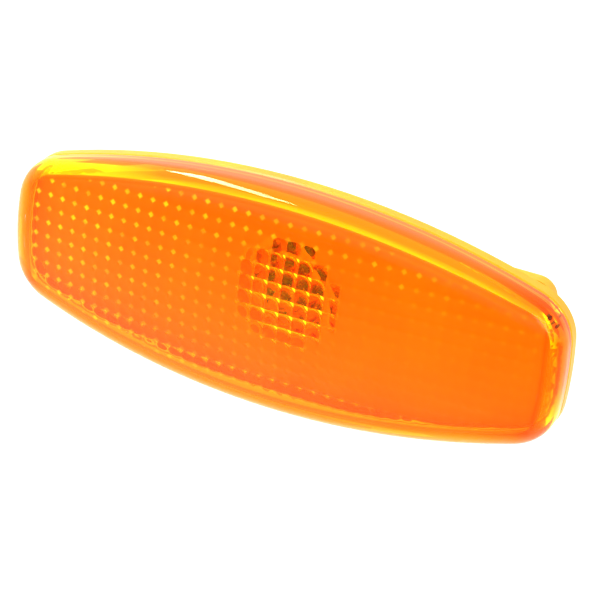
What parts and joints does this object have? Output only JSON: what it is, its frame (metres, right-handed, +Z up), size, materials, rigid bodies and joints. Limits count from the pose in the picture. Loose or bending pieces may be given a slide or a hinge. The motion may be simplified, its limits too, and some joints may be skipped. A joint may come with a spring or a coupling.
{
  "type": "side marker lamp",
  "caption": "Amber side marker lamp for a car body: crowned barrel-shaped lens with pillow optics on a snap-in housing with wedge bulb and twist-lock holder.",
  "frame": {"origin": "middle of the gasket's back face, where the lamp rests on the body panel", "axes": "+X along the lamp towards the hook, +Y through the panel towards the inside of the car, +Z up"},
  "size_m": [0.1, 0.0364, 0.04],
  "materials": {
    "lens_amber": "clear amber acrylic, polished outside",
    "housing_amber": "translucent amber moulding, as moulded",
    "gasket_foam": "closed-cell foam",
    "holder_black": "glass-filled nylon, satin",
    "seal_rubber": "silicone rubber",
    "contact_brass": "tinned brass strip",
    "bulb_clear": "clear blown glass",
    "filament_metal": "tungsten coil",
    "lead_metal": "nickel wire"
  },
  "bodies": {
    "root": {"lens": "lens_amber", "housing": "housing_amber", "fender_gasket": "gasket_foam", "bulb_holder": "holder_black", "holder_seal": "seal_rubber", "contact_upper": "contact_brass", "contact_lower": "contact_brass", "bulb_glass": "bulb_clear", "bulb_filament": "filament_metal", "bulb_lead_left": "lead_metal", "bulb_lead_right": "lead_metal"}
  },
  "joints": []
}
